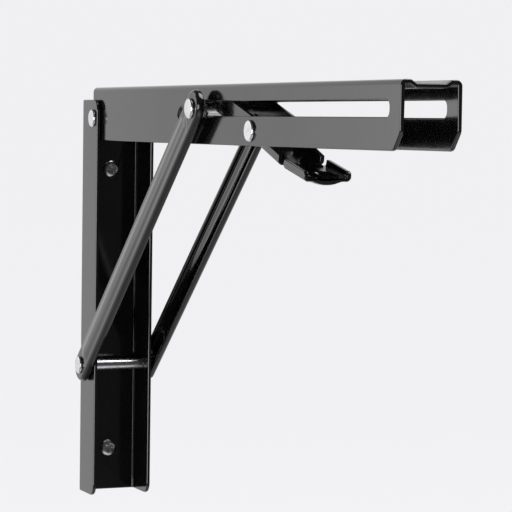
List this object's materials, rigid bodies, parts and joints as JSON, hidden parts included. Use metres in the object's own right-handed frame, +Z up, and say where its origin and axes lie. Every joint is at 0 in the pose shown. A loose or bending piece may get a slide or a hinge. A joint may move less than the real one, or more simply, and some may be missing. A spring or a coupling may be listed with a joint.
{
  "type": "drop leaf table bracket",
  "caption": "Folding drop leaf bracket: slotted arm channel hinged to a wall plate channel, two pressed struts on axles and a forked release lever under the arm.",
  "frame": {"origin": "back of the wall plate, on the centre plane, at the height of the hinge axis", "axes": "+X out of the wall along the open arm, +Y across the bracket, +Z up"},
  "size_m": [0.3, 0.0352, 0.1725],
  "materials": {
    "black_paint": "gloss black enamel on sheet steel",
    "zinc": "bright zinc plate on turned and headed steel"
  },
  "bodies": {
    "wall_plate": {"wall_plate": "black_paint", "hinge_rivet_left": "zinc", "hinge_rivet_right": "zinc"},
    "arm": {"arm_channel": "black_paint", "lever_pin": "zinc"},
    "struts": {"strut_left": "black_paint", "strut_right": "black_paint", "lower_axle": "zinc", "lower_spacer_left": "zinc", "lower_spacer_right": "zinc", "upper_rivet_left": "zinc", "upper_rivet_right": "zinc"},
    "slider": {"upper_axle": "zinc", "slot_spacer_left": "zinc", "slot_spacer_right": "zinc"},
    "lever": {"release_lever": "black_paint"}
  },
  "joints": [
    {"name": "arm_fold", "type": "hinge", "parent": "wall_plate", "child": "arm", "pos_m": [0.0146, 0, 0], "axis": [0, 1, 0], "range_deg": [0, 90]},
    {"name": "strut_swing", "type": "hinge", "parent": "wall_plate", "child": "struts", "pos_m": [0.0112, 0, -0.1044], "axis": [0, 1, 0], "range_deg": [0, 128.53]},
    {"name": "axle_slide", "type": "slide", "parent": "arm", "child": "slider", "axis": [1, 0, 0], "range_m": [0, 0.14818]},
    {"name": "lever_release", "type": "hinge", "parent": "arm", "child": "lever", "pos_m": [0.1807, 0, -0.004], "axis": [0, 1, 0], "range_deg": [-15, 0]}
  ],
  "couplings": [
    {"joint": "strut_swing", "follows": "arm_fold", "ratio": 1.4259},
    {"joint": "axle_slide", "follows": "arm_fold", "m_per_rad": 0.094207}
  ]
}
